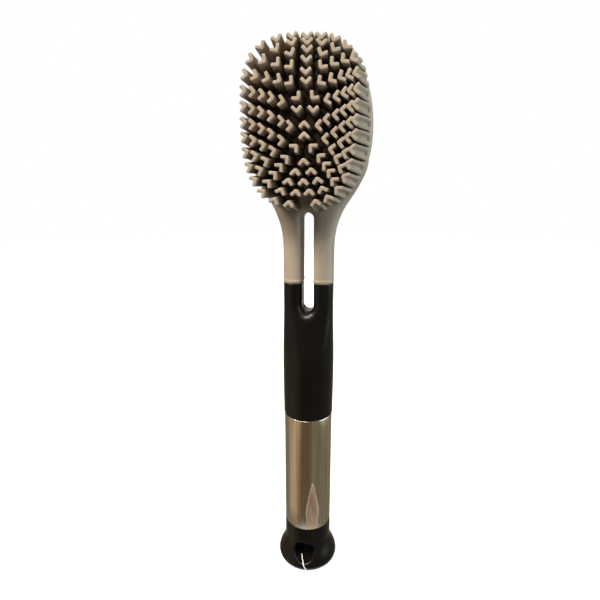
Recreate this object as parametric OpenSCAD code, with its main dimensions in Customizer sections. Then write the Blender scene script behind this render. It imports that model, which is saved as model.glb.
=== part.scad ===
// Dish wand: a straight cleaning brush with a silicone head of chevron nubs.
// The origin is the centre of the hanging hole. +Z runs along the handle to the head,
// the nubs face -Y, and +X is to the right when the nubs face the viewer.

/* [Handle] */
// Length of the steel sleeve
sleeve_len = 65; // [50:1:90]
// Outer diameter of the steel sleeve
sleeve_d = 25; // [22:0.5:30]
// Wall of the steel sleeve
sleeve_wall = 0.8; // [0.6:0.1:1.5]
// Length of the black grip above the sleeve
grip_len = 70; // [55:1:90]
// How far the grip swells past the sleeve's radius
grip_swell = 0.5; // [0.2:0.1:1.5]
// Length of the core's spigot inside the sleeve
spigot_len = 25; // [15:1:30]
// Clearance between parts that fit inside each other
fit_gap = 0.1; // [0.05:0.05:0.3]

/* [End cap] */
// Height of the cap above the hole's centre
cap_above = 14.5; // [10:0.5:20]
// Height of the cap below the hole's centre
cap_below = 10.5; // [9.5:0.5:16]
// Height above the hole's centre at which the cap starts to flare
flare_start = 4.5; // [1:0.5:8]
// Widest radius of the flared lip
flare_r = 16.2; // [14.5:0.1:19]
// Radius of the hanging hole
hole_r = 5.2; // [4:0.1:6]
// Length of the cap's spigot inside the sleeve
cap_spigot_len = 18; // [10:1:22]

/* [Neck] */
// Width across both neck legs
neck_w = 24.6; // [22:0.2:28]
// Thickness of the neck from front to back
neck_t = 14.4; // [12:0.2:18]
// Width of the slot between the legs
slot_w = 5.8; // [5.2:0.1:7]
// Length of the slot
slot_len = 48; // [40:1:54]
// How far the slot reaches down into the black grip
slot_in_grip = 14; // [10:0.5:20]
// Rounding of the slot's edges
slot_edge = 4.4; // [3:0.1:5]

/* [Head] */
// Width of the head
head_w = 57.6; // [50:0.4:70]
// Distance from the head's widest line up to its top
head_up = 40; // [34:0.5:48]
// Distance from the head's widest line down to the foot of its oval
head_down = 38; // [32:0.5:44]
// Distance from the grip's top to the head's widest line
head_rise = 70; // [62:0.5:80]
// Thickness of the head behind the handle's centre plane
head_back_t = 4; // [3:0.25:6]
// Thickness of the head in front of the centre plane, up to the nubs' floor
head_front_t = 3; // [2.5:0.25:4]
// Thickness of the silicone round the core
silicone_t = 1.6; // [1.2:0.1:2]
// Width of the rim outside the stiffening paddle
paddle_inset = 5; // [4:0.5:8]

/* [Nubs] */
// Height of the nubs above the floor
nub_h = 17; // [12:0.5:20]
// Length of each arm of a nub
nub_arm = 3.7; // [3.2:0.1:4]
// Thickness of each arm
nub_t = 1.5; // [1.2:0.1:1.7]
// Number of nubs that the outermost ring is spaced for
rim_count = 32; // [24:1:34]
// How many fewer nubs each next ring has
count_step = 5; // [4:1:5]
// Inset of the outermost ring from the head's edge
rim_inset = 5.4; // [4.6:0.1:7]
// Distance between the two outermost rings at the sides
ring_gap = 3; // [2.8:0.1:3.4]
// How far the outermost nubs' tips lean to the left at the head's widest line
lean = 2.9; // [0:0.1:4]

/* [Tag thread] */
// Diameter of the thread stub
thread_d = 0.6; // [0.4:0.1:1]

/* [Hidden] */
black = "#17181a";
silicone = "#8f887b";
sleeve_z = cap_above;
grip_z = sleeve_z + sleeve_len;
neck_z = grip_z + grip_len;
slot_z = neck_z - slot_in_grip;
head_z = neck_z + head_rise;
sleeve_r = sleeve_d / 2;
bore_r = sleeve_r - sleeve_wall;
neck_r = neck_w / 2;
head_r = head_w / 2;
// The oval's outline is a superellipse above the widest line and an ellipse below it
top_power = 2.2;
low_power = 2;
rim_round = 2.6;
section_points = 32;
outline_points = 48;
// The neck's outline leaves the legs' straight sides here and meets the oval here
flare_z = neck_z + 17;
join_drop = 16;
join_z = head_z - join_drop;
slice_t = 0.8;

function power(v, p) = sign(v) * pow(abs(v), p);
function smooth(t) = let (u = min(max(t, 0), 1)) u * u * (3 - 2 * u);
function mix(a, b, t) = a + (b - a) * t;

// Half width of the oval at height z above its widest line
function oval_half(dz) = dz > 0
    ? head_r * pow(max(1 - pow(dz / head_up, top_power), 0), 1 / top_power)
    : head_r * pow(max(1 - pow(-dz / head_down, low_power), 0), 1 / low_power);

// One point of an egg-shaped ring, a is 0 at the right and 90 at the top
function ring_point(a, rx, up, down, zc, pt, pl) =
    let (p = sin(a) > 0 ? pt : pl, rz = sin(a) > 0 ? up : down)
    [rx * power(cos(a), 2 / p), zc + rz * power(sin(a), 2 / p)];

// The neck's edge as a cubic curve from the leg's side to the oval, t is 0 to 1
join_half = oval_half(-join_drop);
join_slope = head_r * head_r * join_drop / (head_down * head_down * join_half);
pull = 15 / sqrt(1 + join_slope * join_slope);
function edge_curve(t) = let (s = 1 - t)
    s * s * s * [neck_r, flare_z]
    + 3 * s * s * t * [neck_r, flare_z + 18]
    + 3 * s * t * t * [join_half - join_slope * pull, join_z - pull]
    + t * t * t * [join_half, join_z];

// A closed solid through a list of sections that have the same number of points
module loft(sections) {
    n = len(sections[0]);
    m = len(sections);
    sides = [for (i = [0:m - 2], j = [0:n - 1])
        let (a = i * n + j, b = i * n + (j + 1) % n)
        for (f = [[a, b, b + n], [a, b + n, a + n]]) f];
    foot = [for (j = [1:n - 2]) [0, j + 1, j]];
    crown = [for (j = [1:n - 2]) [(m - 1) * n, (m - 1) * n + j, (m - 1) * n + j + 1]];
    polyhedron([for (s = sections, p = s) p], concat(sides, foot, crown));
}

// A level section of the neck or grip, p is 2 for an oval and more for a squarer one
module level(z, half_w, half_t, p) {
    translate([0, 0, z]) linear_extrude(0.02)
        polygon([for (i = [0:section_points - 1]) let (a = 360 * i / section_points)
            [half_w * power(cos(a), 2 / p), half_t * power(sin(a), 2 / p)]]);
}

// Sections of the neck up into the head: height, half width, half thickness, squareness
neck_steps = 7;
function neck_sections(inset, root = 0) = concat(
    [[neck_z - root, neck_r - inset, neck_t / 2 - inset, 3.2]],
    [for (i = [0:neck_steps])
        let (q = edge_curve(i / neck_steps), k = smooth((q[1] - flare_z - 14) / 20))
        [q[1], q[0] - inset - 0.2 * k, mix(neck_t / 2, head_front_t - 0.4, k) - inset, mix(3.2, 2.4, k)]]);

module chain(sections) {
    for (i = [0:len(sections) - 2]) hull() for (s = [sections[i], sections[i + 1]])
        level(s[0], s[1], s[2], s[3]);
}

// The slot with its rounded edges, grown by extra on every side, as stadium outlines from front to back
module slot_body(extra) {
    reach = neck_t / 2;
    front = [for (u = [2.1, 1.15, 1, 0.92, 0.75, 0.5, 0.25]) -u * reach];
    both = concat(front, [0], [for (i = [len(front) - 1:-1:0]) -front[i]]);
    half = 13;
    top = slot_z + slot_len - slot_w / 2;
    foot = slot_z + slot_w / 2;
    loft([for (y = both)
        let (u = min(abs(y) / reach, 1),
             r = slot_w / 2 + extra + slot_edge * (1 - sqrt(1 - u * u)) + 0.5 * max(abs(y) - reach, 0))
        [for (i = [0:2 * half - 1]) let (up = i < half, a = 180 * (up ? i : i - 1) / (half - 1))
            [r * cos(a), y, (up ? top : foot) + r * sin(a)]]]);
}

// A plate with the head's outline drawn in by inset, from y0 to y1, with round edges of radius r
module head_plate(inset, y0, y1, r) {
    steps = 4;
    rows = [for (i = [0:steps]) let (a = 90 * i / steps) [r * (1 - cos(a)), r * (1 - sin(a))]];
    levels = concat([for (q = rows) [y0 + q[0], q[1]]],
        [for (i = [steps:-1:0]) [y1 - rows[i][0], rows[i][1]]]);
    loft([for (l = levels) let (d = inset + l[1])
        [for (i = [0:outline_points - 1]) let (a = 360 * i / outline_points,
            q = ring_point(a, head_r - d, head_up - d, head_down - d, head_z, top_power, low_power))
            [q[0], l[0], q[1]]]]);
}

// Black nylon: the grip, the prongs and paddle inside the silicone, and the spigot
module handle_core() {
    color(black) difference() {
        union() {
            translate([0, 0, grip_z - spigot_len])
                cylinder(r = bore_r - fit_gap, h = spigot_len + 1, $fn = 48);
            chain(grip_sections);
            chain(neck_sections(silicone_t + fit_gap, 2));
            head_plate(paddle_inset, -head_front_t + silicone_t, head_back_t - silicone_t, 0.8);
        }
        slot_body(0);
        prong_trim();
    }
}

// The grip swells from the sleeve, then flattens towards the neck
grip_sections = [for (u = [0, 0.02, 0.12, 0.25, 0.4, 0.52, 0.64, 0.74, 0.84, 0.92, 1])
    let (k = smooth((u - 0.42) / 0.45), b = grip_swell * (0.5 + 0.5 * sin(180 * min(u / 0.75, 1))))
    [grip_z + u * (grip_len - 0.06),
     u == 0 ? sleeve_r + 0.5 * grip_swell - 0.3 : mix(sleeve_r + b, neck_r, k),
     u == 0 ? sleeve_r + 0.5 * grip_swell - 0.3 : mix(sleeve_r + b, neck_t / 2, k),
     mix(2, 3.2, k)]];

// Above the grip the slot is wider in the core, to leave silicone on the legs' inner sides
module prong_trim() {
    intersection() {
        slot_body(silicone_t + fit_gap);
        translate([-neck_w, -neck_w, neck_z]) cube([2 * neck_w, 2 * neck_w, slot_len + 10]);
    }
}

// The whole silicone outside: the neck and the head's plate
module silicone_outside() {
    chain(neck_sections(0));
    head_plate(0, -head_front_t, head_back_t, rim_round);
}

// The space in front of the head, where the silicone's skin belongs to the nubs
module nub_zone(extra) {
    d = rim_round - 0.5 - extra;
    translate([0, -head_front_t + slice_t + extra, 0]) rotate([90, 0, 0]) linear_extrude(40)
        polygon([for (i = [0:outline_points - 1]) let (a = 360 * i / outline_points)
            ring_point(a, head_r - d, head_up - d, head_down - 3 - d, head_z, top_power, 2.6)]);
}

// Silicone: the neck legs, and the back and the rim of the head
module head_jacket() {
    color(silicone) difference() {
        silicone_outside();
        slot_body(0);
        pocket();
        nub_zone(0.05);
    }
}

// The room for the core inside the silicone
module pocket() {
    difference() {
        union() {
            translate([0, 0, -0.01]) chain(neck_sections(silicone_t));
            head_plate(paddle_inset - fit_gap, -head_front_t + silicone_t - fit_gap,
                head_back_t - silicone_t + fit_gap, 0.8);
        }
        slot_body(silicone_t);
    }
}

// Rings of nubs, from the rim inwards: half width, top, foot, widest line and number of places
rings = 5;
function ring_rx(k) = head_r - rim_inset - (ring_gap - 0.2) * k - 0.175 * k * k;
function ring_top(k) = head_up - 6.4 - 1.72 * k - 0.37 * k * k;
function ring_foot(k) = head_down - 6.7 - 4.87 * k + 0.134 * k * k;
function ring_mid(k) = 7.5 + 2 * k - 0.44 * k * k;
function ring_count(k) = rim_count - count_step * k;
function ring_power(k, up) = up ? 3.2 - 0.8 * k + 0.11 * k * k : 2.9 + 0.1 * k * k;
function ring_reach(k, up) = up ? ring_top(k) - ring_mid(k) : ring_foot(k) + ring_mid(k);
function ring_xz(k, a) = ring_point(a, ring_rx(k), ring_reach(k, true), ring_reach(k, false),
    head_z + ring_mid(k), ring_power(k, true), ring_power(k, false));

// Equal steps along a ring, by a table of its length at small angles from the top
fine = 96;
function lengths(k, i = 0, sum = 0, out = []) = i > fine ? out
    : let (p = ring_xz(k, 90 - 360 * i / fine), q = ring_xz(k, 90 - 360 * max(i - 1, 0) / fine),
           s = sum + norm(p - q))
    lengths(k, i + 1, s, concat(out, [[s, 90 - 360 * i / fine]]));
// The place at the bottom of the outermost ring has no nub
function ring_angles(k) = let (t = lengths(k), whole = t[fine][0], n = ring_count(k))
    [for (j = [0:n - 1]) if (k > 0 || abs(j / n - 0.5) > 0.001) lookup(j * whole / n, t)];

// The nubs inside the innermost ring: x, height over the widest line, and the way they point.
// Those with an x stand in pairs, one on each side.
middle = [[3.1, 11.2, -135], [3.4, 6.3, -90], [5.9, 0.3, 180], [3.5, -8.1, 135],
    [0, 17.2, -90], [0, 0.9, 90], [0, -3.3, 90]];

// The way from a nub to the head's middle, square to its ring, as an angle in the x-z plane
function inward(k, a) = let (q = ring_xz(k, a), z = q[1] - head_z - ring_mid(k), up = z > 0,
        e = ring_power(k, up) - 1, rz = ring_reach(k, up))
    atan2(-power(z / rz, e) / rz, -power(q[0] / ring_rx(k), e) / ring_rx(k));

// The distance from a point to the head's edge, measured away from the head's middle
function edge_room(q) = let (z = q[1] - head_z, p = z > 0 ? top_power : low_power,
        s = pow(pow(abs(q[0]) / head_r, p) + pow(abs(z) / (z > 0 ? head_up : head_down), p), 1 / p))
    norm([q[0], z]) * (1 / s - 1);

// A nub's outline round its own middle: two arms from a rounded corner that points along +x
corner = 0.35;
function turn(p, a) = [p[0] * cos(a) - p[1] * sin(a), p[0] * sin(a) + p[1] * cos(a)];
function chevron() = let (l = nub_arm, w = nub_t, c = corner,
        raw = [[0, 2 * c], [2 * c, 0], [l - c, 0], [l, c], [l, w], [w, w], [w, l], [c, l], [0, l - c]])
    [for (p = raw) let (q = turn(p, 135)) [q[0] + nub_arm * 0.45, q[1]]];

// The outline of a nub at the rim: its arms' ends run out by reach as two ridges, and the web
// between them, which fills more of the corner as reach grows, stays back from the ridges' ends
function ridged(reach) = let (l = nub_arm, w = nub_t, c = corner, m = w * sqrt(0.5), f = min(reach, 1),
        front = l * 0.45, side = l * sqrt(0.5), arm = front - side, end = arm - m - reach,
        half = [[front - c * sqrt(2), c * sqrt(2)],
                [arm + c, side - c],
                [arm - f * 0.3, side],
                [mix(arm - m * 0.4, end + 0.4, f), mix(side - m * 0.4, side, f)],
                [mix(arm - m * 0.8, end, f), mix(side - m * 0.8, side - 0.5, f)],
                [end, mix(side - m, side - m - 0.4, f)],
                [mix(arm / 2 + front / 2 - 1.5 * m, end + 1, f), mix((side - m) / 2, side - m - 0.5, f)]],
        notch = [mix(front - 2 * m, end + 1.1, f), 0])
    concat(half, [notch], [for (i = [6:-1:0]) [half[i][0], -half[i][1]]]);

// Moves of a nub's tip to the side and along the head
function tip_dx(q) = let (u = q[0] / (head_r - rim_inset))
    lean * (0.31 + 0.0108 * (q[1] - head_z) - u * u);
function tip_dz(q) = -lean * 0.00054 * q[0] * (q[1] - head_z);

// A prism between an outline at height h above the floor and one sunk into the floor
module upright(q, dir, h, tip, foot) {
    rows = [[tip, -head_front_t - h, [tip_dx(q), tip_dz(q)]],
        [foot, -head_front_t, [0, 0]], [foot, -head_front_t + 0.4, [0, 0]]];
    loft([for (r = rows) [for (p = r[0]) let (w = turn(p, dir) + r[2]) [q[0] + w[0], r[1], q[1] + w[1]]]]);
}

// Silicone: all the nubs, fused to the skin of the head's front
module nub_field() {
    color(silicone) union() {
        difference() {
            intersection() {
                silicone_outside();
                nub_zone(0);
            }
            slot_body(0);
        }
        for (k = [0:rings - 1], a = ring_angles(k)) let (q = ring_xz(k, a))
            if (k == 0) upright(q, inward(k, a), nub_h, ridged(0), ridged(max(edge_room(q) - 3.3, 1)));
            else upright(q, inward(k, a), nub_h, chevron(), chevron());
        for (m = middle, s = m[0] > 0 ? [-1, 1] : [1])
            upright([s * m[0], head_z + m[1]], s > 0 ? m[2] : 180 - m[2], nub_h, chevron(), chevron());
    }
}

// Steel: a thin polished tube
module steel_sleeve() {
    color("#b9b2a6") translate([0, 0, sleeve_z]) difference() {
        cylinder(r = sleeve_r, h = sleeve_len, $fn = 64);
        translate([0, 0, -1]) cylinder(r = bore_r, h = sleeve_len + 2, $fn = 64);
    }
}

// Black nylon: the flared cap with its cross hole and its spigot
cap_round = 2;
function cap_r(z) = mix(sleeve_r, flare_r, smooth((flare_start - z) / (flare_start + cap_below - 3.2)));
module end_cap() {
    color(black) difference() {
        rotate_extrude($fn = 96) polygon(concat(
            [[0, -cap_below]],
            [for (a = [0:15:90]) [flare_r - 0.1 - cap_round * 1.3 * (1 - sin(a)),
                -cap_below + cap_round * (1 - cos(a))]],
            [for (u = [0:0.1:1]) let (z = mix(-cap_below + 3.2, flare_start, u)) [cap_r(z), z]],
            [[sleeve_r, cap_above], [bore_r - fit_gap, cap_above]],
            [[bore_r - fit_gap, cap_above + cap_spigot_len], [0, cap_above + cap_spigot_len]]));
        rotate([90, 0, 0]) cylinder(r = hole_r, h = 3 * flare_r, center = true, $fn = 64);
    }
}

// White nylon: the thread stub lies on the hole's foot and over the front of the lip
module thread_tube(route, r) {
    n = 6;
    loft([for (i = [0:len(route) - 1])
        let (d = route[min(i + 1, len(route) - 1)] - route[max(i - 1, 0)], t = d / norm(d),
             u = cross(t, [1, 0, 0]) / norm(cross(t, [1, 0, 0])), v = cross(t, u))
        [for (j = [0:n - 1]) let (a = -360 * j / n) route[i] + r * (cos(a) * u + sin(a) * v)]]);
}
module tag_thread() {
    r = thread_d / 2;
    start = -hole_r - r - 0.1;
    route = [for (u = [0:0.1:1]) let (z = mix(start, -cap_below + 1.6, u))
        [mix(0.1, 2.3, u), -cap_r(z) - r - 0.15, z]];
    color("white") thread_tube(route, r);
}

handle_core();
head_jacket();
nub_field();
steel_sleeve();
end_cap();
tag_thread();
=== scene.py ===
import math
import random

import bpy
import numpy as np
from mathutils import Matrix, Vector


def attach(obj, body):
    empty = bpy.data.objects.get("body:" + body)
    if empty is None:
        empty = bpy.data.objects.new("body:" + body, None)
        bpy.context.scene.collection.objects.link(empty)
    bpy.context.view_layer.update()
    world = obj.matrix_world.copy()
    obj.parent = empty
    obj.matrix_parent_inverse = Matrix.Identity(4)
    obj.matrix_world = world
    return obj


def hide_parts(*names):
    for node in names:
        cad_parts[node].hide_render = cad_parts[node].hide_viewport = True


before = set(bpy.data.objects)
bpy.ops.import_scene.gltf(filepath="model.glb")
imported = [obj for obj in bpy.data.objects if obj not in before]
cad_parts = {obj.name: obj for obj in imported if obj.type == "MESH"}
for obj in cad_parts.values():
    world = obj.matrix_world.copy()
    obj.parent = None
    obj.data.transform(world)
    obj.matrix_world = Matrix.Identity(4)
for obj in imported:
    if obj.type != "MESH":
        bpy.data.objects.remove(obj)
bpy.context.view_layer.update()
random.seed(7)

# Sizes in millimetres
MM = 0.001
SLEEVE_Z, SLEEVE_LEN, SLEEVE_R, SLEEVE_WALL = 14.5, 65.0, 12.5, 0.8
GRIP_Z = SLEEVE_Z + SLEEVE_LEN
GRIP_LEN = 70.0
NECK_Z = GRIP_Z + GRIP_LEN
NECK_R, NECK_T = 12.3, 7.2
SLOT_R, SLOT_FOOT, SLOT_TOP = 2.9, NECK_Z - 14 + 2.9, NECK_Z + 34 - 2.9
HEAD_R, HEAD_UP, HEAD_DOWN, HEAD_Z = 28.8, 40.0, 38.0, 219.5
TOP_POWER, LOW_POWER = 2.2, 2.0
HEAD_BACK, HEAD_FRONT = 4.0, -3.0
RIM_ROUND = 2.6
FLARE_Z, JOIN_DROP = NECK_Z + 17, 16.0
NUB_H = 17.0
NUB_ARM, NUB_T = 3.7, 1.5
RIM_COUNT, COUNT_STEP, RINGS = 32, 5, 5
RIM_INSET, RING_GAP = 5.4, 3.0
LEAN = 2.9
CAP_LOW, CAP_FLARE, CAP_R = -10.5, 4.5, 16.2
HOLE_R = 5.2
SPIGOT_R = 11.6
PRONG_INSET, PADDLE_INSET, PADDLE_SKIN = 1.7, 5.0, 1.6
THREAD_R = 0.3

# The stain on the sleeve: its middle, its lower end, its length, its half width and its edge line
STAIN_X, STAIN_Z, STAIN_LEN, STAIN_HALF, STAIN_LINE = 4.3, 12.5, 31.0, 3.1, 0.35

# The painted shade between the nubs: where it starts, how deep it is full, and the oval that it fills
PAINTED_SHADE_Y, PAINTED_SHADE_DEPTH, PAINTED_SHADE_HALF_X, PAINTED_SHADE_HALF_Z, PAINTED_SHADE_Z = -16.5, 9.5, 23.5, 34.5, HEAD_Z + 1


def smooth(t):
    u = np.clip(t, 0, 1)
    return u * u * (3 - 2 * u)


def mix(a, b, t):
    return a + (b - a) * t


def smax(a, b, k):
    """The larger of two, with the crease between them rounded over k."""
    h = np.maximum(k - np.abs(a - b), 0) / k
    return np.maximum(a, b) + h * h * k * 0.25


def smin(a, b, k):
    return -smax(-a, -b, k)


# Materials, each from noise in the object's own space
def material(name, build):
    m = bpy.data.materials.new(name)
    m.use_nodes = True
    t = m.node_tree
    t.nodes.clear()
    out = t.nodes.new("ShaderNodeOutputMaterial")
    p = t.nodes.new("ShaderNodeBsdfPrincipled")
    t.links.new(p.outputs[0], out.inputs[0])
    co = t.nodes.new("ShaderNodeTexCoord")
    build(t, p, co.outputs["Object"])
    return m


def ramp(t, source, stops):
    n = t.nodes.new("ShaderNodeValToRGB")
    t.links.new(source, n.inputs[0])
    e = n.color_ramp.elements
    while len(e) < len(stops):
        e.new(0.5)
    for s, (at, c) in zip(e, stops):
        s.position = at
        s.color = (*c, 1)
    return n.outputs[0]


def noise(t, co, scale, detail=4, rough=0.5, stretch=None):
    n = t.nodes.new("ShaderNodeTexNoise")
    n.inputs["Scale"].default_value = scale
    n.inputs["Detail"].default_value = detail
    n.inputs["Roughness"].default_value = rough
    if stretch:
        m = t.nodes.new("ShaderNodeMapping")
        m.inputs["Scale"].default_value = stretch
        t.links.new(co, m.inputs[0])
        co = m.outputs[0]
    t.links.new(co, n.inputs["Vector"])
    return n.outputs[0]


def bump(t, p, height, strength, distance):
    b = t.nodes.new("ShaderNodeBump")
    b.inputs["Strength"].default_value = strength
    b.inputs["Distance"].default_value = distance
    t.links.new(height, b.inputs["Height"])
    t.links.new(b.outputs[0], p.inputs["Normal"])


def math_node(t, kind, *values):
    n = t.nodes.new("ShaderNodeMath")
    n.operation = kind
    for i, v in enumerate(values):
        if isinstance(v, (int, float)):
            n.inputs[i].default_value = v
        else:
            t.links.new(v, n.inputs[i])
    return n.outputs[0]


def blend_node(t, factor, a, b, kind="MIX"):
    n = t.nodes.new("ShaderNodeMix")
    n.data_type = "RGBA"
    n.blend_type = kind
    if isinstance(factor, float):
        n.inputs[0].default_value = factor
    else:
        t.links.new(factor, n.inputs[0])
    for i, v in ((6, a), (7, b)):
        if isinstance(v, tuple):
            n.inputs[i].default_value = (*v, 1)
        else:
            t.links.new(v, n.inputs[i])
    return n.outputs[2]


def clamp_node(t, v, high=1.0):
    return math_node(t, "MINIMUM", math_node(t, "MAXIMUM", v, 0.0), high)


def split(t, co):
    n = t.nodes.new("ShaderNodeSeparateXYZ")
    t.links.new(co, n.inputs[0])
    return n.outputs


def between(t, v, low, size):
    """How far v, in metres, is along a size in millimetres that starts at low."""
    return math_node(t, "MULTIPLY_ADD", v, 1 / (size * MM), -low / size)


def mottled(t, co, scale, detail, dark, light, at=(0.3, 0.7), stretch=None):
    """Noise between two colours, or between two greys for a roughness."""
    ends = [c if isinstance(c, tuple) else (c, c, c) for c in (dark, light)]
    return ramp(t, noise(t, co, scale, detail, 0.6 if stretch else 0.5, stretch), list(zip(at, ends)))


def silicone(t, p, co):
    t.links.new(mottled(t, co, 90, 5, (0.315, 0.268, 0.215), (0.365, 0.315, 0.255)), p.inputs["Base Color"])
    t.links.new(mottled(t, co, 160, 4, 0.42, 0.56, (0.3, 0.75)), p.inputs["Roughness"])
    p.inputs["Specular IOR Level"].default_value = 0.4
    bump(t, p, noise(t, co, 1400, 3), 0.12, 0.0002)


def nub_silicone(t, p, co):
    """The same silicone with painted shade: darker down between the nubs, where shade falls."""
    silicone(t, p, co)
    base = p.inputs["Base Color"].links[0].from_socket
    x, y, z = split(t, co)
    deep = between(t, y, PAINTED_SHADE_Y, PAINTED_SHADE_DEPTH)
    across = math_node(t, "POWER", between(t, x, 0, PAINTED_SHADE_HALF_X), 2.0)
    along = math_node(t, "POWER", between(t, z, PAINTED_SHADE_Z, PAINTED_SHADE_HALF_Z), 2.0)
    middle = math_node(t, "MULTIPLY_ADD", math_node(t, "ADD", across, along), -3.0, 3.4)
    painted_shade = math_node(t, "MULTIPLY", clamp_node(t, deep), clamp_node(t, middle))
    # Painted shade: the base colour is blended towards dark brown down between the nubs
    t.links.new(blend_node(t, painted_shade, base, (0.13, 0.108, 0.08)), p.inputs["Base Color"])


def black(t, p, co):
    colour = mottled(t, co, 60, 4, (0.0028, 0.0028, 0.003), (0.0048, 0.0048, 0.005))
    t.links.new(colour, p.inputs["Base Color"])
    t.links.new(mottled(t, co, 220, 5, 0.24, 0.31, (0.3, 0.8)), p.inputs["Roughness"])
    p.inputs["Specular IOR Level"].default_value = 0.17
    bump(t, p, noise(t, co, 2200, 2), 0.1, 0.0001)


def stain_masks(t, co):
    """The stain's leaf shape: how far up it a place is, its inside, and its edge line."""
    x, y, z = split(t, co)
    up = between(t, z, STAIN_Z, STAIN_LEN)
    turn = math_node(t, "MULTIPLY", math_node(t, "POWER", math_node(t, "MAXIMUM", up, 0.0), 0.7), 3.14)
    wobble = math_node(t, "MULTIPLY", math_node(t, "SUBTRACT", noise(t, co, 700, 3), 0.5), 1.2 * MM)
    half = math_node(t, "MULTIPLY_ADD", math_node(t, "SINE", turn), STAIN_HALF * MM, wobble)
    away = math_node(t, "ABSOLUTE", math_node(t, "SUBTRACT", x, STAIN_X * MM))
    gap = math_node(t, "SUBTRACT", half, away)
    above_foot = math_node(t, "GREATER_THAN", up, 0.0)
    span = math_node(t, "MULTIPLY", above_foot, math_node(t, "LESS_THAN", up, 1.0))
    here = math_node(t, "MULTIPLY", math_node(t, "LESS_THAN", y, 0.0), span)
    inside = math_node(t, "MULTIPLY", math_node(t, "GREATER_THAN", gap, 0.0), here)
    near = math_node(t, "MULTIPLY_ADD", math_node(t, "ABSOLUTE", gap), -1 / (STAIN_LINE * MM), 1.0)
    return up, inside, math_node(t, "MULTIPLY", math_node(t, "MAXIMUM", near, 0.0), here)


def steel(t, p, co):
    """Polished steel with fine streaks round the sleeve, and a dull stain with a paler edge."""
    broad = mottled(t, co, 45, 5, (0.54, 0.5, 0.44), (0.66, 0.62, 0.56), (0.25, 0.75), (1, 1, 0.25))
    streaks = mottled(t, co, 900, 4, 0.72, 1.0, (0.35, 0.65), (1, 1, 0.012))
    clean = blend_node(t, 1.0, broad, streaks, "MULTIPLY")
    up, inside, line = stain_masks(t, co)
    dull = mottled(t, co, 420, 4, (0.42, 0.31, 0.23), (0.74, 0.6, 0.49), stretch=(1, 1, 0.2))
    foot = clamp_node(t, math_node(t, "MULTIPLY_ADD", up, -7.0, 1.4), 0.7)
    stained = blend_node(t, inside, clean, blend_node(t, foot, dull, (0.95, 0.78, 0.36)))
    t.links.new(blend_node(t, line, stained, (0.5, 0.42, 0.33)), p.inputs["Base Color"])
    t.links.new(math_node(t, "MULTIPLY_ADD", line, -0.85, 1.0), p.inputs["Metallic"])
    satin = mottled(t, co, 520, 5, 0.2, 0.3, (0.3, 0.8), (1, 1, 0.05))
    matte = math_node(t, "MULTIPLY", math_node(t, "MAXIMUM", inside, line), 0.52)
    t.links.new(math_node(t, "MAXIMUM", satin, matte), p.inputs["Roughness"])
    bump(t, p, noise(t, co, 900, 3, 0.5, (1, 1, 0.06)), 0.05, 0.0001)


def filament(t, p, co):
    t.links.new(mottled(t, co, 300, 4, (0.62, 0.6, 0.57), (0.78, 0.77, 0.74)), p.inputs["Base Color"])
    p.inputs["Roughness"].default_value = 0.35


SILICONE = material("silicone", silicone)
NUBS = material("nub_silicone", nub_silicone)
BLACK = material("black_nylon", black)
STEEL = material("polished_steel", steel)
THREAD = material("thread_nylon", filament)


# Meshes
def add_mesh(name, points, faces, mat, normals=None, smooth_shade=True):
    me = bpy.data.meshes.new(name)
    me.from_pydata([tuple(p) for p in np.asarray(points) * MM], [], [tuple(map(int, f)) for f in faces])
    me.update()
    me.materials.append(mat)
    if smooth_shade:
        me.polygons.foreach_set("use_smooth", [True] * len(me.polygons))
    if normals is not None:
        me.normals_split_custom_set_from_vertices([tuple(n) for n in normals])
    ob = bpy.data.objects.new(name, me)
    bpy.context.scene.collection.objects.link(ob)
    return ob


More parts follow.
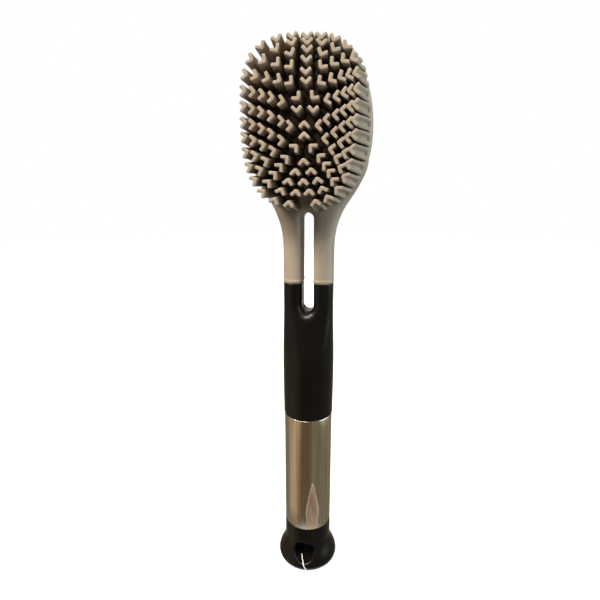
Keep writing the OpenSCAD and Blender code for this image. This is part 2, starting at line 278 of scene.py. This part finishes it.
def from_field(f, lo, hi, h):
    """Points, faces and normals of the surface f = 0, as quads of one point a crossed cell."""
    lo, hi = np.array(lo, float), np.array(hi, float)
    n = np.ceil((hi - lo) / h).astype(int) + 1
    ax = [lo[i] + h * np.arange(n[i]) for i in range(3)]
    X, Y, Z = np.meshgrid(*ax, indexing="ij")
    F = f(X, Y, Z)
    inside = F < 0
    total = np.zeros([m - 1 for m in n] + [3])
    count = np.zeros([m - 1 for m in n])
    quads = []
    for a in range(3):
        s0 = [slice(None)] * 3
        s1 = [slice(None)] * 3
        s0[a], s1[a] = slice(0, -1), slice(1, None)
        f0, f1 = F[tuple(s0)], F[tuple(s1)]
        cross = inside[tuple(s0)] != inside[tuple(s1)]
        i, j, k = np.nonzero(cross)
        t = f0[i, j, k] / (f0[i, j, k] - f1[i, j, k])
        p = np.stack([i, j, k], 1).astype(float)
        p[:, a] += t
        b, c = [(1, 2), (2, 0), (0, 1)][a]
        idx = np.stack([i, j, k], 1)
        cells = []
        for db, dc in ((0, 0), (-1, 0), (-1, -1), (0, -1)):
            q = idx.copy()
            q[:, b] += db
            q[:, c] += dc
            cells.append(q)
            ok = (q[:, b] >= 0) & (q[:, c] >= 0) & (q[:, b] < n[b] - 1) & (q[:, c] < n[c] - 1)
            np.add.at(total, tuple(q[ok].T), p[ok])
            np.add.at(count, tuple(q[ok].T), 1)
        quads.append((np.stack(cells, 1), f0[i, j, k] < 0))
    used = count > 0
    ids = np.full(count.shape, -1)
    ids[used] = np.arange(used.sum())
    pts = lo + h * total[used] / count[used][:, None]
    faces = []
    for cells, out in quads:
        q = ids[cells[..., 0], cells[..., 1], cells[..., 2]]
        q = np.where(out[:, None], q, q[:, ::-1])
        faces.append(q[(q >= 0).all(1)])
    faces = np.concatenate(faces)
    e = 0.02

    def gradient(p):
        g = []
        for a in range(3):
            d = np.zeros(3)
            d[a] = e
            g.append((f(*(p + d).T) - f(*(p - d).T)) / (2 * e))
        return np.stack(g, 1)

    for _ in range(3):
        g = gradient(pts)
        g2 = np.maximum((g * g).sum(1), 0.05)
        move = (f(*pts.T) / g2)[:, None] * g
        size = np.linalg.norm(move, axis=1, keepdims=True)
        pts = pts - move * np.minimum(1, 0.4 * h / np.maximum(size, 1e-9))
    g = gradient(pts)
    return pts, faces, g / np.maximum(np.linalg.norm(g, axis=1, keepdims=True), 1e-9)


def lathe(name, profile, mat, steps=192):
    pts, faces = [], []
    n = len(profile)
    for i in range(steps):
        a = 2 * math.pi * i / steps
        for r, z in profile:
            pts.append((r * math.cos(a), r * math.sin(a), z))
    for i in range(steps):
        for j in range(n):
            a, b = i * n + j, ((i + 1) % steps) * n + j
            c, d = ((i + 1) % steps) * n + (j + 1) % n, i * n + (j + 1) % n
            faces.append((a, b, c, d))
    return add_mesh(name, pts, faces, mat)


# Shapes as fields: each is negative inside the piece and grows with the distance outside it
def oval(x, z, a, b, p):
    """Distance from a superellipse with half sizes a and b, along the way from its middle."""
    s = (np.abs(x / a) ** p + np.abs(z / b) ** p) ** (1 / p)
    r = np.sqrt(x * x + z * z)
    return r * (1 - 1 / np.maximum(s, 1e-6))


def oval_half(dz):
    """Half the head's width at dz above its widest line."""
    reach, p = (HEAD_UP, TOP_POWER) if dz > 0 else (HEAD_DOWN, LOW_POWER)
    return HEAD_R * max(1 - (abs(dz) / reach) ** p, 0) ** (1 / p)


JOIN_HALF = oval_half(-JOIN_DROP)
JOIN_SLOPE = HEAD_R**2 * JOIN_DROP / (HEAD_DOWN**2 * JOIN_HALF)
PULL = 15 / math.sqrt(1 + JOIN_SLOPE**2)
JOIN_Z = HEAD_Z - JOIN_DROP


def edge_table():
    """Heights and half widths of the curve that carries the neck into the head."""
    t = np.linspace(0, 1, 60)
    s = 1 - t
    c = [(NECK_R, FLARE_Z), (NECK_R, FLARE_Z + 18)]
    c += [(JOIN_HALF - JOIN_SLOPE * PULL, JOIN_Z - PULL), (JOIN_HALF, JOIN_Z)]
    w = [s**3, 3 * s * s * t, 3 * s * t * t, t**3]
    x = sum(k * p[0] for k, p in zip(w, c))
    z = sum(k * p[1] for k, p in zip(w, c))
    return z, x


EDGE_Z, EDGE_X = edge_table()


def neck(x, y, z, inset=0.0):
    half = np.interp(z, EDGE_Z, EDGE_X) - inset
    k = smooth((z - FLARE_Z - 14) / 20)
    thick = mix(NECK_T, 2.6, k) - inset
    d = oval(x, y, half, thick, mix(3.2, 2.4, k))
    return smax(d, z - (JOIN_Z + 2 - inset), 1.0)


def plate(x, y, z, inset, y0, y1, r):
    """The head's oval from y0 to y1 with its rim rounded by r."""
    dz = z - HEAD_Z
    d = np.where(
        dz > 0,
        oval(x, dz, HEAD_R - inset, HEAD_UP - inset, TOP_POWER),
        oval(x, dz, HEAD_R - inset, HEAD_DOWN - inset, LOW_POWER),
    )
    q = d + r
    w = np.abs(y - (y0 + y1) / 2) - (y1 - y0) / 2 + r
    return np.minimum(np.maximum(q, w), 0) + np.hypot(np.maximum(q, 0), np.maximum(w, 0)) - r


def slot(x, y, z, grow=0.0):
    zz = z - np.clip(z, SLOT_FOOT, SLOT_TOP)
    return np.hypot(x, zz) - SLOT_R - grow


def jacket(x, y, z):
    body = smin(neck(x, y, z), plate(x, y, z, 0, HEAD_FRONT, HEAD_BACK, RIM_ROUND), 3.0)
    body = smax(body, -slot(x, y, z), 4.2)
    body = body - 0.2 * np.exp(-(((z - NECK_Z - 1.3) / 0.5) ** 2))
    return smax(body, NECK_Z - z, 0.5)


def grip(x, y, z):
    u = (z - GRIP_Z) / GRIP_LEN
    k = smooth((u - 0.42) / 0.45)
    b = 0.5 * (0.5 + 0.5 * np.sin(np.pi * np.clip(u / 0.75, 0, 1)))
    a = mix(SLEEVE_R + b, NECK_R, k)
    c = mix(SLEEVE_R + b, NECK_T, k)
    body = smax(oval(x, y, a, c, mix(2, 3.2, k)), GRIP_Z - z, 0.7)
    body = smax(body, -slot(x, y, z), 5.5)
    return smax(body, z - NECK_Z + 0.05, 0.25)


def core(x, y, z):
    body = grip(x, y, z)
    spigot = np.maximum(np.hypot(x, y) - SPIGOT_R, np.abs(z - GRIP_Z + 12) - 13)
    prong = np.maximum(neck(x, y, z, PRONG_INSET), NECK_Z - 2 - z)
    prong = np.maximum(prong, -slot(x, y, z, PRONG_INSET))
    paddle = plate(x, y, z, PADDLE_INSET, HEAD_FRONT + PADDLE_SKIN, HEAD_BACK - PADDLE_SKIN, 0.8)
    paddle = np.maximum(paddle, -slot(x, y, z, PADDLE_INSET))
    return np.minimum(np.minimum(body, spigot), np.minimum(prong, paddle))


def cap_r(z):
    return mix(SLEEVE_R, CAP_R, smooth((CAP_FLARE - z) / (CAP_FLARE - CAP_LOW - 3.2)))


def cap(x, y, z):
    r = np.hypot(x, y)
    body = smax(r - cap_r(z), CAP_LOW - z, 4.2)
    body = smax(body, z - SLEEVE_Z, 0.3)
    body = smax(body, HOLE_R - np.hypot(x, z), 1.5)
    spigot = np.maximum(r - SPIGOT_R, np.abs(z - SLEEVE_Z - 8.5) - 9.5)
    return np.minimum(body, spigot)


# Nubs
def ring(k):
    """Half width, top, foot, widest line and the two powers of a ring of nubs."""
    rx = HEAD_R - RIM_INSET - (RING_GAP - 0.2) * k - 0.175 * k * k
    top = HEAD_UP - 6.4 - 1.72 * k - 0.37 * k * k
    foot = HEAD_DOWN - 6.7 - 4.87 * k + 0.134 * k * k
    mid = 7.5 + 2 * k - 0.44 * k * k
    return rx, top - mid, foot + mid, HEAD_Z + mid, 3.2 - 0.8 * k + 0.11 * k * k, 2.9 + 0.1 * k * k


def power(v, p):
    return math.copysign(abs(v) ** p, v) if v else 0.0


def ring_xz(k, a):
    rx, above, below, zc, top, low = ring(k)
    high = math.sin(a) > 0
    p = top if high else low
    return rx * power(math.cos(a), 2 / p), zc + (above if high else below) * power(math.sin(a), 2 / p)


def ring_nubs(k):
    """Place, way to the middle and ring of each nub of ring k, evenly spaced along it."""
    samples = 720
    angles = [math.pi / 2 - 2 * math.pi * i / samples for i in range(samples + 1)]
    pts = np.array([ring_xz(k, a) for a in angles])
    s = np.concatenate([[0], np.cumsum(np.linalg.norm(np.diff(pts, axis=0), axis=1))])
    n = RIM_COUNT - COUNT_STEP * k
    rx, above, below, zc, top, low = ring(k)
    out = []
    for j in range(n):
        if k == 0 and abs(j / n - 0.5) < 0.001:
            continue
        x, z = (float(np.interp(j * s[-1] / n, s, pts[:, i])) for i in range(2))
        e = (top if z > zc else low) - 1
        rz = above if z > zc else below
        gx, gz = power(x / rx, e) / rx, power((z - zc) / rz, e) / rz
        out.append((x, z, math.atan2(-gz, -gx), k))
    return out


def edge_room(x, z):
    """The way left from a place on the head to its outline."""
    dz = z - HEAD_Z
    p = TOP_POWER if dz > 0 else LOW_POWER
    s = (abs(x / HEAD_R) ** p + abs(dz / (HEAD_UP if dz > 0 else HEAD_DOWN)) ** p) ** (1 / p)
    return math.hypot(x, dz) * (1 / s - 1)


def half_v(grow):
    """The half of a V's outline on the +v side, from its corner, towards +u, to its notch."""
    l, w, o, c, r = NUB_ARM + grow, NUB_T + grow, -grow, 0.42, 0.12
    raw = [(o + 0.25, o + 0.25), (o + 0.85, o), (l - 1.2, o), (l - c, o), (l - r, o + r), (l, o + c)]
    raw += [(l, w - c), (l - r, w - r), (l - c, w), (w + 0.25, w), (w + 0.03, w + 0.03)]
    k = math.sqrt(0.5)
    return [(0.45 * NUB_ARM - (x + y) * k, (x - y) * k) for x, y in raw]


def half_ridged(grow, reach):
    """The same half at the foot of a nub at the rim, with its ridge and its web run out by reach."""
    side = NUB_ARM * math.sqrt(0.5) + grow * 0.6
    inner = side - NUB_T - grow * 1.2
    start = half_v(grow)
    end = 0.45 * NUB_ARM - (NUB_ARM + NUB_T) * math.sqrt(0.5) - reach - grow * 0.4
    web = end + 1.2
    out = start[:3] + [(start[3][0] - 0.4, side), (end + 0.5, side)]
    out += [(end + 0.14, side - 0.14), (end, side - 0.5)]
    return out + [(end, inner + 0.5), (end + 0.3, inner + 0.1), (web, inner - 0.15), (web + 0.1, 0.02)]


def outline(grow, reach=0.0):
    half = half_v(grow)
    if reach > 0:
        f = float(smooth(reach / 1.4))
        half = [(mix(a[0], b[0], f), mix(a[1], b[1], f)) for a, b in zip(half, half_ridged(grow, reach))]
    return half + [(u, -v) for u, v in reversed(half[1:-1])]


class Builder:
    def __init__(self):
        self.points, self.faces = [], []

    def tube(self, rows, cap_first=True, cap_last=False):
        base = len(self.points)
        n = len(rows[0])
        for r in rows:
            self.points.extend(r)
        for i in range(len(rows) - 1):
            for j in range(n):
                a, b = base + i * n + j, base + i * n + (j + 1) % n
                self.faces.append((a, b, b + n, a + n))
        if cap_first:
            self.faces.append(tuple(base + j for j in reversed(range(n))))
        if cap_last:
            self.faces.append(tuple(base + (len(rows) - 1) * n + j for j in range(n)))


def tip_move(x, z):
    """How far a nub's tip leans to the side and along the head."""
    u = x / (HEAD_R - RIM_INSET)
    return LEAN * (0.31 + 0.0108 * (z - HEAD_Z) - u * u), -LEAN * 0.00054 * x * (z - HEAD_Z)


# Depth under a nub's tip, and how much its outline grows there
LEVELS = [(0.0, -0.3), (0.1, -0.1), (0.34, 0.0), (2.5, 0.01), (6, 0.03)]
LEVELS += [(10, 0.06), (14, 0.1), (15.8, 0.22), (16.6, 0.5), (17.15, 1.0)]


def add_nub(b, x, z, direction, k):
    tip = HEAD_FRONT - NUB_H
    dx, dz = tip_move(x, z)
    dx += random.uniform(-0.18, 0.18)
    dz += random.uniform(-0.12, 0.12)
    direction += math.radians(random.uniform(-3.5, 3.5))
    reach = max(edge_room(x, z) - 3.3, 1) if k == 0 else 0.0
    c, s = math.cos(direction), math.sin(direction)
    rows = []
    for depth, grow in LEVELS:
        bend = max(1 - depth / NUB_H, 0) ** 1.2
        ring_out = outline(grow, reach * min(depth / NUB_H, 1))
        mx, mz = x + dx * bend, z + dz * bend
        rows.append([(mx + c * u - s * v, tip + depth, mz + s * u + c * v) for u, v in ring_out])
    b.tube(rows)


def nub_list():
    out = []
    for k in range(RINGS):
        out += ring_nubs(k)
    pairs = [(3.1, 11.2, -135), (3.4, 6.3, -90), (5.9, 0.3, 180), (3.5, -8.1, 135)]
    for x, dz, a in pairs:
        out += [(x, HEAD_Z + dz, math.radians(a), 6), (-x, HEAD_Z + dz, math.radians(180 - a), 6)]
    for dz, a in [(17.2, -90), (0.9, 90), (-3.3, 90)]:
        out.append((0, HEAD_Z + dz, math.radians(a), 6))
    return out


field = Builder()
for nx, nz, nd, nk in nub_list():
    add_nub(field, nx, nz, nd, nk)
nubs = add_mesh("silicone_nubs", field.points, field.faces, NUBS)
nubs.modifiers.new("shade", "WEIGHTED_NORMAL")
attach(nubs, "root")
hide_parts("nub_field")

fine = 0.5


def field_piece(name, f, lo, hi, step, mat, cad):
    pts, faces, normals = from_field(f, lo, hi, step)
    ob = add_mesh(name, pts, faces, mat, normals)
    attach(ob, "root")
    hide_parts(cad)
    return ob


field_piece("silicone_body", jacket, (-31, -9, 146), (31, 9, 262), fine, SILICONE, "head_jacket")
field_piece("black_core", core, (-26, -15, 52), (26, 15, 257), fine, BLACK, "handle_core")
field_piece("end_cap_body", cap, (-18, -18, -13), (18, 18, 35), fine, BLACK, "end_cap")

inner = SLEEVE_R - SLEEVE_WALL
sleeve_profile = [
    (inner, SLEEVE_Z), (SLEEVE_R - 0.3, SLEEVE_Z), (SLEEVE_R - 0.09, SLEEVE_Z + 0.09),
    (SLEEVE_R, SLEEVE_Z + 0.3), (SLEEVE_R, SLEEVE_Z + 12), (SLEEVE_R, SLEEVE_Z + 33), (SLEEVE_R, GRIP_Z - 12),
    (SLEEVE_R, GRIP_Z - 0.3), (SLEEVE_R - 0.09, GRIP_Z - 0.09), (SLEEVE_R - 0.3, GRIP_Z), (inner, GRIP_Z),
]
sleeve = lathe("steel_tube", sleeve_profile, STEEL)
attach(sleeve, "root")
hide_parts("steel_sleeve")


def thread_points():
    """From inside the hole out over its lower edge, then down the cap."""
    rest = -HOLE_R + THREAD_R + 0.05
    out = []
    for i in range(9):
        u = i / 8
        out.append((mix(-1.6, 0.1, u), mix(-10.5, -float(cap_r(-HOLE_R)), u), rest + 1.2 * (1 - u) ** 2))
    for i in range(1, 11):
        u = i / 10
        z = mix(rest - 0.3, CAP_LOW + 1.6, u)
        out.append((mix(0.1, 2.3, u), -float(cap_r(z)) - THREAD_R - 0.1, z))
    return out


def tube_mesh(name, route, r, mat, sides=10):
    b = Builder()
    route = [Vector(p) for p in route]
    rows = []
    for i, p in enumerate(route):
        d = (route[min(i + 1, len(route) - 1)] - route[max(i - 1, 0)]).normalized()
        u = d.cross(Vector((1, 0, 0))).normalized()
        v = d.cross(u)
        turns = [-2 * math.pi * j / sides for j in range(sides)]
        rows.append([tuple(p + r * (math.cos(a) * u + math.sin(a) * v)) for a in turns])
    b.tube(rows, True, True)
    return add_mesh(name, b.points, b.faces, mat)


thread = tube_mesh("white_thread", thread_points(), THREAD_R, THREAD)
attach(thread, "root")
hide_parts("tag_thread")

# Camera, at the photograph's angle
scene = bpy.context.scene
cam_data = bpy.data.cameras.new("camera")
cam_data.sensor_width, cam_data.lens = 36, 26.4
cam_data.clip_start, cam_data.clip_end = 0.01, 20
cam = bpy.data.objects.new("camera", cam_data)
scene.collection.objects.link(cam)
right = Vector((0.98483, 0.17356, -0.00036))
up = Vector((-0.04174, 0.23885, 0.97016))
fwd = Vector((-0.16847, 0.95542, -0.24247))
rot = Matrix((right, up, -fwd)).transposed().to_4x4()
cam.matrix_world = Matrix.Translation((0.0329, -0.2119, 0.19385)) @ rot
scene.camera = cam

# Lamps
target = Vector((0, 0, 0.13))


def area(name, azimuth, elevation, distance, size, watts, colour, aim=target):
    d = bpy.data.lights.new(name, "AREA")
    d.shape = "RECTANGLE"
    d.size, d.size_y = size
    d.energy = watts
    d.color = colour
    o = bpy.data.objects.new(name, d)
    scene.collection.objects.link(o)
    a, e = math.radians(azimuth), math.radians(elevation)
    at = aim + distance * Vector((math.sin(a) * math.cos(e), -math.cos(a) * math.cos(e), math.sin(e)))
    o.location = at
    o.rotation_euler = (aim - at).to_track_quat("-Z", "Y").to_euler()
    return o


area("key_left", -62, 50, 1.1, (0.45, 0.45), 17, (1.0, 0.84, 0.68))
area("top_soft", -18, 58, 1.1, (0.5, 0.4), 15, (1.0, 0.9, 0.78))
area("right_green", 90, 16, 1.2, (0.9, 1.0), 15, (0.86, 0.96, 0.93))
area("low_fill", 16, -48, 1.1, (0.5, 0.5), 2.6, (0.96, 0.95, 0.94)).visible_glossy = False
area("back_soft", 190, 32, 1.2, (0.8, 0.8), 11, (1.0, 0.94, 0.86)).visible_glossy = False


def empty_tree(owner):
    owner.use_nodes = True
    owner.node_tree.nodes.clear()
    return owner.node_tree


def glow(t, colour, strength=1.0):
    n = t.nodes.new("ShaderNodeEmission")
    for socket, v in ((n.inputs["Color"], colour), (n.inputs["Strength"], strength)):
        if isinstance(v, (tuple, float)):
            socket.default_value = v
        else:
            t.links.new(v, socket)
    return n.outputs[0]


def mix_shader(t, factor, a, b):
    n = t.nodes.new("ShaderNodeMixShader")
    for i, v in enumerate((factor, a, b)):
        t.links.new(v, n.inputs[i])
    return n.outputs[0]


def studio_world():
    """White for camera, reflections and transmission, and a dim room for diffuse light."""
    world = bpy.data.worlds.new("studio")
    scene.world = world
    t = empty_tree(world)
    path = t.nodes.new("ShaderNodeLightPath").outputs
    seen = math_node(t, "MAXIMUM", path["Is Camera Ray"], path["Is Glossy Ray"])
    seen = math_node(t, "MAXIMUM", seen, path["Is Transmission Ray"])
    levels = []
    for colour, strength in (((0.9, 0.84, 0.74, 1), 0.025), ((1, 1, 1, 1), 1.0)):
        n = t.nodes.new("ShaderNodeBackground")
        n.inputs[0].default_value = colour
        n.inputs[1].default_value = strength
        levels.append(n.outputs[0])
    out = t.nodes.new("ShaderNodeOutputWorld")
    t.links.new(mix_shader(t, seen, *levels), out.inputs[0])


studio_world()

# The studio's flags: warm dim cards round the sides and the front, seen in reflections alone
CARD_R, CARD_LOW, CARD_HIGH, CARD_STEPS = 1500.0, -2600.0, 1300.0, 80
BACK_ANGLE, CARD_GAP = 100, 20
RIGHT_HAND, BACKWARDS = (0.985, 0.174, 0), (-0.17, 0.985, 0)
CARD_STOPS = [
    (0.03, (0.62, 0.46, 0.28)), (0.09, (0.85, 0.62, 0.39)), (0.15, (0.6, 0.42, 0.25)),
    (0.255, (0.2, 0.14, 0.07)), (0.4, (0.15, 0.095, 0.05)), (0.55, (0.19, 0.125, 0.065)),
    (0.67, (0.3, 0.25, 0.18)), (0.78, (0.25, 0.21, 0.145)), (0.95, (0.25, 0.215, 0.13)),
]


def toward(t, way, axis, low, high):
    """0 to 1 as a way turns towards axis."""
    n = t.nodes.new("ShaderNodeVectorMath")
    n.operation = "DOT_PRODUCT"
    t.links.new(way, n.inputs[0])
    n.inputs[1].default_value = axis
    return math_node(t, "MULTIPLY_ADD", n.outputs["Value"], 1 / (high - low), -low / (high - low))


def card_material():
    m = bpy.data.materials.new("flag_cards")
    t = empty_tree(m)
    m.cycles.emission_sampling = "NONE"
    way = t.nodes.new("ShaderNodeVectorMath")
    way.operation = "NORMALIZE"
    t.links.new(t.nodes.new("ShaderNodeNewGeometry").outputs["Position"], way.inputs[0])
    way = way.outputs[0]
    colour = ramp(t, clamp_node(t, toward(t, way, RIGHT_HAND, -1, 1)), CARD_STOPS)
    behind = clamp_node(t, toward(t, way, BACKWARDS, 0.02, 0.26))
    out = t.nodes.new("ShaderNodeOutputMaterial")
    t.links.new(glow(t, blend_node(t, behind, colour, (0.27, 0.22, 0.15))), out.inputs[0])
    return m


card_points, card_faces = [], []
for i in range(CARD_STEPS + 1):
    a = math.radians(BACK_ANGLE + CARD_GAP + (360 - 2 * CARD_GAP) * i / CARD_STEPS)
    for z in (CARD_LOW, CARD_HIGH):
        card_points.append((CARD_R * math.cos(a), CARD_R * math.sin(a), z))
    if i:
        card_faces.append((2 * i - 2, 2 * i, 2 * i + 1, 2 * i - 1))
cards = add_mesh("flag_cards", card_points, card_faces, card_material(), smooth_shade=False)
cards.visible_camera = cards.visible_diffuse = False
cards.visible_shadow = cards.visible_transmission = False

# The floor under the foot: white to the camera, with the wand's soft shadow
FLOOR_R, FLOOR_Z, FLOOR_SIDES = 2000, CAP_LOW - 0.05, 64
SHADOW_NEAR, SHADOW_FAR, SHADOW_LEVEL = 0.08, 0.3, 0.88


def floor_material():
    m = bpy.data.materials.new("floor_pale")
    t = empty_tree(m)
    geo = t.nodes.new("ShaderNodeNewGeometry").outputs
    away = t.nodes.new("ShaderNodeVectorMath")
    away.operation = "LENGTH"
    t.links.new(geo["Position"], away.inputs[0])
    reach = SHADOW_FAR - SHADOW_NEAR
    far = clamp_node(t, math_node(t, "MULTIPLY_ADD", away.outputs["Value"], 1 / reach, -SHADOW_NEAR / reach))
    level = math_node(t, "MULTIPLY_ADD", far, 1 - SHADOW_LEVEL, SHADOW_LEVEL)
    pale = t.nodes.new("ShaderNodeBsdfDiffuse")
    pale.inputs["Color"].default_value = (0.35, 0.35, 0.35, 1)
    both = t.nodes.new("ShaderNodeAddShader")
    t.links.new(glow(t, (1.0, 1.0, 1.0, 1.0), level), both.inputs[0])
    t.links.new(pale.outputs[0], both.inputs[1])
    camera_ray = t.nodes.new("ShaderNodeLightPath").outputs["Is Camera Ray"]
    from_above = clamp_node(t, math_node(t, "SUBTRACT", camera_ray, geo["Backfacing"]))
    through = t.nodes.new("ShaderNodeBsdfTransparent").outputs[0]
    out = t.nodes.new("ShaderNodeOutputMaterial")
    t.links.new(mix_shader(t, from_above, through, both.outputs[0]), out.inputs[0])
    return m


floor_turns = [2 * math.pi * i / FLOOR_SIDES for i in range(FLOOR_SIDES)]
floor_points = [(FLOOR_R * math.cos(a), FLOOR_R * math.sin(a), FLOOR_Z) for a in floor_turns]
floor = add_mesh("floor", floor_points, [range(FLOOR_SIDES)], floor_material(), smooth_shade=False)

scene.view_settings.view_transform = "Standard"
scene.view_settings.look = "None"

bpy.context.view_layer.update()
